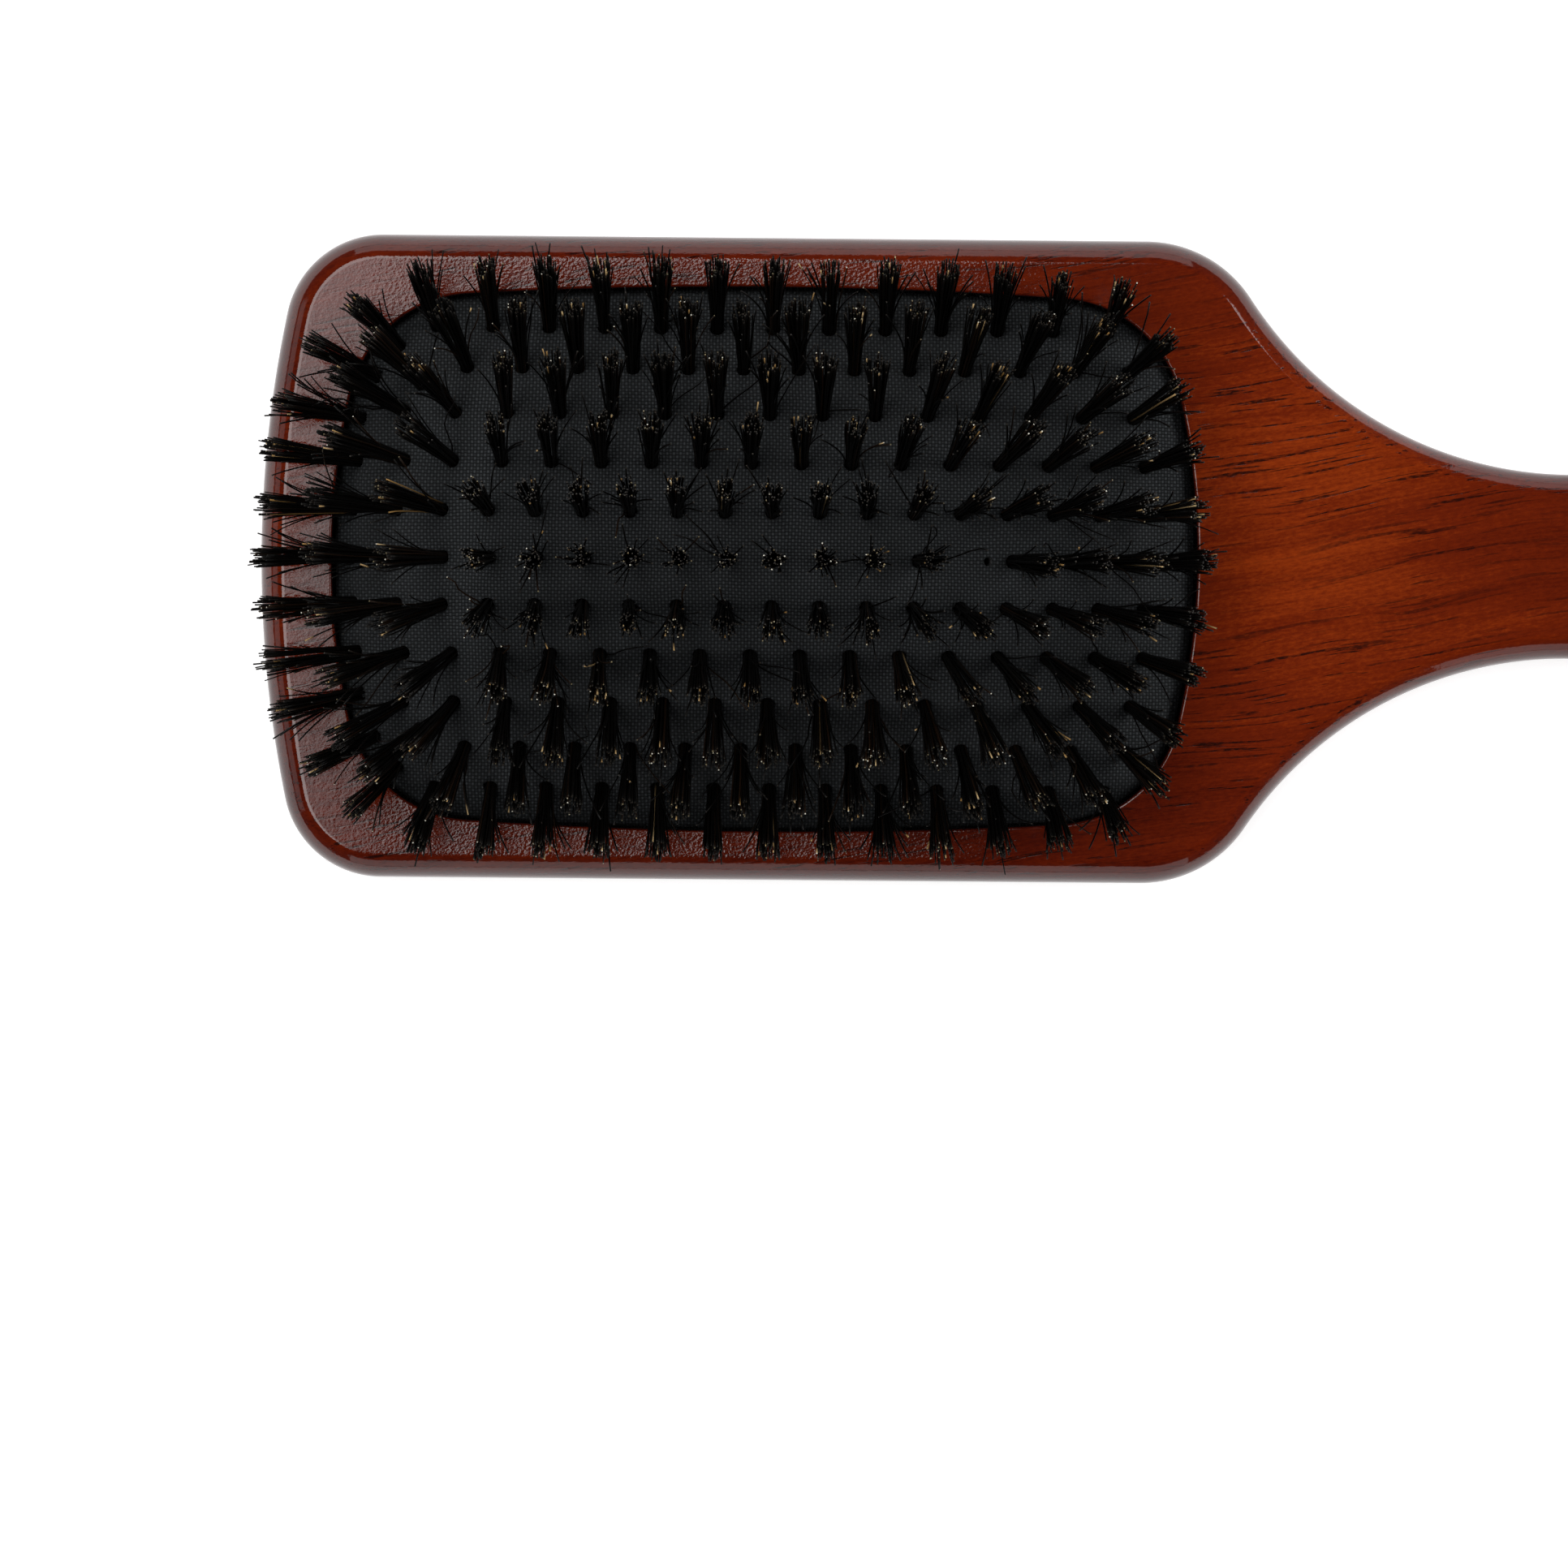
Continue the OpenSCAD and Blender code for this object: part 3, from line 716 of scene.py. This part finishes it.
# ================================================================ materials
class Graph:
    """A material with one Principled shader, built node by node."""

    def __init__(self, name, **sockets):
        self.material = bpy.data.materials.new(name)
        self.material.use_nodes = True
        self.tree = self.material.node_tree
        self.shader = self.tree.nodes["Principled BSDF"]
        for socket, value in sockets.items():
            self.shader.inputs[socket.replace("_", " ")].default_value = value

    def node(self, kind, inputs=(), output=0, **settings):
        node = self.tree.nodes.new(kind)
        for key, value in settings.items():
            setattr(node, key, value)
        for key, value in dict(inputs).items():
            if isinstance(value, bpy.types.NodeSocket):
                self.tree.links.new(value, node.inputs[key])
            else:
                node.inputs[key].default_value = value
        return node.outputs[output]

    def parts(self, kind, source):
        """The three outputs of a node that separates a vector or a colour."""
        node = self.tree.nodes.new(kind)
        self.tree.links.new(source, node.inputs[0])
        return node.outputs[0], node.outputs[1], node.outputs[2]

    def math(self, operation, a, b=0.0, clamp=False):
        return self.node("ShaderNodeMath", {0: a, 1: b}, operation=operation, use_clamp=clamp)

    def place(self, scale=(1, 1, 1), turn=0.0):
        """The point on the object in millimetres, turned about Z by degrees and then scaled."""
        point = self.node("ShaderNodeTexCoord", output="Object")
        if turn:
            rotation = (0, 0, math.radians(-turn))
            point = self.node("ShaderNodeMapping", {"Vector": point, "Rotation": rotation})
        return self.node("ShaderNodeMapping", {"Vector": point, "Scale": [s / MM for s in scale]})

    def noise(self, vector, scale, detail=2.0, roughness=0.5, distortion=0.0):
        return self.node("ShaderNodeTexNoise", {"Vector": vector, "Scale": scale, "Detail": detail,
                                                "Roughness": roughness, "Distortion": distortion})

    def ramp(self, factor, stops, interpolation="LINEAR"):
        node = self.tree.nodes.new("ShaderNodeValToRGB")
        node.color_ramp.interpolation = interpolation
        elements = node.color_ramp.elements
        while len(elements) < len(stops):
            elements.new(1.0)
        for element, (position, colour) in zip(elements, stops):
            element.position = position
            element.color = (*colour, 1) if hasattr(colour, "__len__") else (colour,) * 3 + (1,)
        self.tree.links.new(factor, node.inputs[0])
        return node.outputs[0]

    def mix(self, factor, a, b, blend="MIX"):
        node = self.tree.nodes.new("ShaderNodeMix")
        node.data_type = "RGBA"
        node.blend_type = blend
        for index, value in ((0, factor), (6, a), (7, b)):
            if isinstance(value, bpy.types.NodeSocket):
                self.tree.links.new(value, node.inputs[index])
            else:
                node.inputs[index].default_value = value if index == 0 else (*value, 1)
        return node.outputs[2]

    def bump(self, height, distance):
        """A bumped normal, the distance being that of a height of 1 in millimetres."""
        return self.node("ShaderNodeBump", {"Height": height, "Distance": distance * MM, "Strength": 1.0})

    def link(self, **sockets):
        for socket, value in sockets.items():
            self.tree.links.new(value, self.shader.inputs[socket.replace("_", " ")])
        return self.material


def wood_material():
    g = Graph("lacquered_wood", Coat_Weight=1.0, Coat_Roughness=0.06, Coat_IOR=1.5, IOR=1.45,
              Specular_IOR_Level=0.02)
    # Points in millimetres with X along the grain, which wanders a little from side to side.
    wander = g.noise(g.place((0.016, 0.03, 0.03)), 1.0, 2.0)
    aside = g.node("ShaderNodeCombineXYZ", {"Y": g.math("MULTIPLY", wander, 9.0)})
    along = g.node("ShaderNodeVectorMath", {0: g.place(turn=GRAIN_ANGLE), 1: aside}, operation="ADD")

    def stretched(scale, detail, roughness=0.55, distortion=0.0):
        point = g.node("ShaderNodeVectorMath", {0: along, 1: scale}, operation="MULTIPLY")
        return g.noise(point, 1.0, detail, roughness, distortion)

    streaks = stretched((0.02, 0.42, 0.42), 4.0, 0.6, 0.3)
    fine = stretched((0.09, 3.6, 3.6), 3.0, 0.6)
    fleck = g.noise(g.place((1.0, 2.6, 2.6), GRAIN_ANGLE), 1.0, 3.0, 0.75)
    # Painted pool of light: the tone is raised round a point on the flare and fades out over the reach, so
    # the flare is painted brighter in its middle and darker towards its edges.
    from_painted_light = g.node("ShaderNodeVectorMath", {0: g.place((1, 1.15, 0)), 1: PAINTED_LIGHT_CENTRE}, output=1,
                       operation="DISTANCE")
    painted_light = g.ramp(g.math("DIVIDE", from_painted_light, PAINTED_LIGHT_REACH), [(0.0, 1.0), (1.0, 0.0)], "EASE")
    broad = g.noise(g.place((0.02, 0.05, 0.05)), 1.0, 2.0)
    tone = g.math("ADD", g.math("MULTIPLY", streaks, 0.20), g.math("MULTIPLY", fine, 0.14))
    tone = g.math("ADD", tone, g.math("MULTIPLY", fleck, 0.26))
    tone = g.math("ADD", tone, g.math("MULTIPLY", broad, 0.26))
    tone = g.math("ADD", tone, g.math("MULTIPLY", painted_light, 0.125))
    tones = [(0.30, (0.045, 0.0022, 0.0004)), (0.40, (0.098, 0.0075, 0.0009)),
             (0.51, (0.155, 0.0140, 0.0013)), (0.63, (0.29, 0.036, 0.003))]
    colour = g.ramp(tone, tones)
    pores = stretched((0.085, 1.9, 1.9), 2.0, 0.6)
    pore_zone = stretched((0.02, 0.14, 0.14), 2.0)
    bead = g.ramp(g.noise(g.place((1.1, 2.5, 2.5), GRAIN_ANGLE), 1.0, 1.0), [(0.3, 0.35), (0.55, 1.0)])
    zone = g.ramp(pore_zone, [(0.36, 0.2), (0.52, 1.0)])
    pore = g.math("MULTIPLY", g.ramp(pores, [(0.585, 0.0), (0.63, 1.0)]), zone)
    pore = g.math("MULTIPLY", pore, bead)
    colour = g.mix(g.math("MULTIPLY", pore, 0.9), colour, (0.012, 0.002, 0.0012))
    normal = g.node("ShaderNodeNewGeometry", output="Normal")
    upright = g.node("ShaderNodeSeparateXYZ", {0: normal}, output="Z")
    side = g.math("SUBTRACT", 1.0, g.math("ABSOLUTE", upright), clamp=True)
    colour = g.mix(g.ramp(side, [(0.06, 0.0), (0.5, 0.72)]), colour, (0.036, 0.0045, 0.0045))
    peel = g.noise(g.place(), 1.4, 2.0, 0.6)
    speck = g.noise(g.place((1, 1.25, 1.25)), 2.3, 1.5, 0.6)
    # The lacquer is rougher on the face beside the pocket than on the edges, the flare and the handle.
    from_toe = g.math("SUBTRACT", g.node("ShaderNodeSeparateXYZ", {0: g.place()}), TOE_X)
    from_toe = g.math("MULTIPLY", from_toe, PER_PADDLE)
    rough_face = g.ramp(from_toe, [(0.08, 0.12), (0.25, 1.0), (0.5, 1.0), (0.75, 0.1)])
    rough = g.math("MULTIPLY", rough_face, g.ramp(side, [(0.02, 1.0), (0.12, 0.12)]))
    dimples = g.math("MULTIPLY", g.math("MULTIPLY", speck, rough), 2.1)
    height = g.math("ADD", g.math("MULTIPLY", peel, 0.2), dimples)
    height = g.math("SUBTRACT", height, g.math("MULTIPLY", pore, 0.12))
    roughness = g.ramp(g.noise(g.place((0.1, 0.6, 0.6)), 1.0, 3.0), [(0.3, 0.36), (0.7, 0.5)])
    return g.link(Base_Color=colour, Roughness=roughness,
                  Normal=g.bump(g.math("ADD", height, g.math("MULTIPLY", fine, 0.25)), 0.05),
                  Coat_Normal=g.bump(height, 0.05))


def cover_material():
    g = Graph("woven_cover", Sheen_Weight=0.03, Sheen_Roughness=0.5, Specular_IOR_Level=0.12)
    # Plain weave: u and v count the threads in X and Y, and the threads wander a little.
    wander = g.noise(g.place(), 0.12, 2.0)
    threads_x, threads_y, _ = g.parts("ShaderNodeSeparateXYZ", g.place((1 / WEAVE_PITCH,) * 3))
    u = g.math("ADD", threads_x, g.math("MULTIPLY", wander, 1.6))
    v = g.math("ADD", threads_y, g.math("MULTIPLY", wander, 1.3))
    inner_u = g.math("SINE", g.math("MULTIPLY", g.math("FRACT", u), math.pi))
    inner_v = g.math("SINE", g.math("MULTIPLY", g.math("FRACT", v), math.pi))
    both = g.math("ADD", g.math("FLOOR", u), g.math("FLOOR", v))
    over = g.math("FLOORED_MODULO", both, 2.0)
    warp = g.math("MULTIPLY", g.math("POWER", inner_u, 0.8), g.math("POWER", inner_v, 0.5))
    weft = g.math("MULTIPLY", g.math("POWER", inner_v, 0.8), g.math("POWER", inner_u, 0.35))
    warp = g.math("MULTIPLY", warp, over)
    weft = g.math("MULTIPLY", weft, g.math("SUBTRACT", 1.0, over))
    height = g.math("ADD", warp, weft)
    fuzz = g.noise(g.place(), 7.0, 2.0, 0.7)
    patch = g.noise(g.place(), 0.05, 3.0)
    lit = g.math("ADD", warp, g.math("MULTIPLY", weft, 0.62))
    lit = g.math("ADD", g.math("MULTIPLY", lit, 0.8), g.math("MULTIPLY", fuzz, 0.2))
    colour = g.ramp(lit, [(0.1, (0.0036, 0.0040, 0.0044)), (0.42, (0.0160, 0.0176, 0.0190)),
                          (0.95, (0.066, 0.072, 0.077))])
    colour = g.mix(g.ramp(patch, [(0.35, 0.25), (0.65, 0.0)]), colour, (0.006, 0.007, 0.007))
    roughness = g.ramp(fuzz, [(0.3, 0.6), (0.7, 0.82)])
    return g.link(Base_Color=colour, Roughness=roughness, Normal=g.bump(height, 0.09))


def rubber_material():
    g = Graph("cushion_rubber_black")
    mottle = g.noise(g.place(), 0.4, 4.0, 0.6)
    colour = g.ramp(mottle, [(0.3, (0.008, 0.008, 0.009)), (0.7, (0.024, 0.023, 0.023))])
    roughness = g.ramp(g.noise(g.place(), 1.3, 3.0), [(0.3, 0.55), (0.7, 0.75)])
    return g.link(Base_Color=colour, Roughness=roughness, Normal=g.bump(g.noise(g.place(), 3.0, 2.0), 0.05))


def hair_tone(g):
    """The hairs' own colour layer: share of the length from the tip, shade and pale length."""
    return g.parts("ShaderNodeSeparateColor", g.node("ShaderNodeVertexColor", layer_name="tone"))


def hair_material():
    g = Graph("boar_bristle", Specular_IOR_Level=0.12)
    from_tip, shade, pale = hair_tone(g)
    dark = g.ramp(shade, [(0.0, (0.0018, 0.0016, 0.0015)), (0.85, (0.004, 0.0033, 0.0028)),
                          (0.98, (0.016, 0.008, 0.004))])
    blend = g.math("DIVIDE", from_tip, g.math("MAXIMUM", pale, 0.001))
    blend = g.math("SUBTRACT", 1.0, blend, clamp=True)
    is_pale = g.ramp(pale, [(0.02, 0.0), (0.05, 1.0)], "CONSTANT")
    blend = g.math("MULTIPLY", g.math("POWER", blend, 0.6), is_pale)
    straw = g.ramp(shade, [(0.0, (0.30, 0.16, 0.045)), (1.0, (0.62, 0.44, 0.22))])
    colour = g.mix(blend, dark, straw)
    streak = g.noise(g.place((6, 6, 1.2)), 1.0, 2.0)
    roughness = g.ramp(streak, [(0.3, 0.32), (0.7, 0.5)])
    return g.link(Base_Color=colour, Roughness=roughness, Normal=g.bump(streak, 0.01))


def cut_end_material():
    g = Graph("bristle_cut_end", Specular_IOR_Level=0.15)
    _, shade, _ = hair_tone(g)
    fleck = g.noise(g.place(), 4.0, 2.0)
    cut = g.ramp(shade, [(0.0, (0.004, 0.004, 0.004)), (0.6, (0.010, 0.010, 0.010)),
                         (0.88, (0.030, 0.029, 0.026)), (0.955, (0.24, 0.20, 0.11)),
                         (1.0, (0.80, 0.78, 0.68))])
    cut = g.mix(g.ramp(fleck, [(0.35, 0.4), (0.65, 0.0)]), cut, (0.05, 0.035, 0.02))
    return g.link(Base_Color=cut, Roughness=g.ramp(fleck, [(0.3, 0.3), (0.7, 0.5)]))


def wire_material():
    g = Graph("drawn_steel_wire", Metallic=1.0)
    lines = g.noise(g.place((0.4, 9, 9)), 1.0, 2.0)
    colour = g.ramp(lines, [(0.3, (0.42, 0.41, 0.40)), (0.7, (0.62, 0.61, 0.59))])
    roughness = g.ramp(lines, [(0.3, 0.28), (0.7, 0.42)])
    return g.link(Base_Color=colour, Roughness=roughness, Normal=g.bump(lines, 0.01))


def floor_material():
    g = Graph("pale_floor", Emission_Color=(1, 1, 1, 1), Emission_Strength=0.75)
    cloud = g.noise(g.place(), 0.004, 3.0)
    colour = g.ramp(cloud, [(0.3, (0.54, 0.54, 0.54)), (0.7, (0.57, 0.57, 0.57))])
    return g.link(Base_Color=colour, Roughness=g.ramp(cloud, [(0.3, 0.9), (0.7, 0.95)]))


# ================================================================ assembly
def hem(steps):
    """A hem's steps with their heights in the shared frame."""
    floor = FACE_Z - POCKET_DEPTH
    return [(inset, floor + height) for inset, height in steps]


def assemble():
    wood = wood_body([wood_material()])
    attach(wood, "root")
    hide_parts("wood_body")

    surface, inward = cushion_layers()
    surface = puffed(surface)
    cover = layered_piece("cushion_cover", surface, inward, 0.0, COVER_THICKNESS, hem(COVER_HEM),
                          [cover_material()])
    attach(cover, "root")
    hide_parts("cushion_fabric")
    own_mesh(cover)
    rubber = layered_piece("cushion_rubber_pad", surface, inward, RUBBER_TOP, RUBBER_BOTTOM,
                           hem(RUBBER_HEM), [rubber_material()])
    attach(rubber, "root")
    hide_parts("cushion_rubber")
    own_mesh(rubber)

    bodies = frame["record"]["behaviour"]["bodies"]
    body_of_node = {node: body for body, nodes in bodies.items() for node in nodes}
    hair = [hair_material(), cut_end_material()]
    by_node = {}
    for tuft in TUFTS:
        by_node.setdefault(tuft["node"], []).append(tuft)
    for node, tufts in by_node.items():
        piece = bristle_piece(node, tufts, hair)
        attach(piece, body_of_node[node])
        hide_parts(node)
    steel = wire_material()
    for node, thing in frame["nodes"].items():
        if node.endswith("_anchors"):
            thing.data.materials.clear()
            thing.data.materials.append(steel)


def area_light(name, location, target, size, radiance, turn=0.0):
    """A white softbox of that many metres a side; turn is its angle about Z in degrees."""
    light = bpy.data.lights.new(name, "AREA")
    light.shape = "RECTANGLE"
    light.size, light.size_y = size
    light.energy = radiance * math.pi * size[0] * size[1]
    lamp = bpy.data.objects.new(name, light)
    bpy.context.scene.collection.objects.link(lamp)
    lamp.location = location
    lamp.rotation_euler = (Vector(target) - Vector(location)).to_track_quat("-Z", "Y").to_euler()
    lamp.rotation_euler.z += math.radians(turn)


def studio():
    scene = bpy.context.scene
    scene.view_settings.view_transform = "Standard"
    world = bpy.data.worlds.new("studio")
    world.use_nodes = True
    background = world.node_tree.nodes["Background"]
    background.inputs["Color"].default_value = (1, 1, 1, 1)
    background.inputs["Strength"].default_value = WORLD_STRENGTH
    scene.world = world
    turn = math.radians(TOE_BOX_TURN)
    for index, (shift, width, radiance) in enumerate(TOE_STRIPS):
        x = TOE_BOX_CENTRE[0] + shift * math.cos(turn)
        y = TOE_BOX_CENTRE[1] + shift * math.sin(turn)
        area_light(f"softbox_toe_{index}", (x, y, TOE_BOX_HEIGHT), (x, y, 0), (width, TOE_BOX_LENGTH),
                   radiance, TOE_BOX_TURN)
    area_light("softbox_left", (-1.7, 0.0, 0.4), MIDDLE, (1.4, 0.5), 0.6)
    area_light("softbox_right", (1.5, 0.3, 1.1), MIDDLE, (1.3, 1.3), 3.8)
    area_light("softbox_front", (0.0, -1.6, 0.33), MIDDLE, (1.6, 0.6), 0.95)
    area_light("softbox_back", (0.0, 1.7, 0.33), MIDDLE, (1.6, 0.6), 1.1)
    corners = np.array([[-1, -1, 0], [1, -1, 0], [1, 1, 0], [-1, 1, 0]]) * FLOOR_HALF / MM
    ground = make_mesh("floor", corners, [(0, 1, 2, 3)], [floor_material()])
    ground.location = (0, 0, WOOD_LOW[2] * MM - FLOOR_GAP)


def camera():
    eye = Vector((*CAMERA_XY, FACE_Z * MM + CAMERA_HEIGHT))
    target = Vector((*CAMERA_TARGET_XY, FACE_Z * MM))
    roll = math.radians(CAMERA_ROLL)
    lens = bpy.data.cameras.new("camera")
    lens.lens = FOCAL_LENGTH
    lens.sensor_width = SENSOR_WIDTH
    thing = bpy.data.objects.new("camera", lens)
    bpy.context.scene.collection.objects.link(thing)
    back = (eye - target).normalized()
    right = Vector((math.cos(roll), math.sin(roll), 0))
    right = (right - back * right.dot(back)).normalized()
    up = back.cross(right)
    thing.matrix_world = Matrix((right, up, back)).transposed().to_4x4()
    thing.location = eye
    bpy.context.scene.camera = thing


camera()
studio()
assemble()
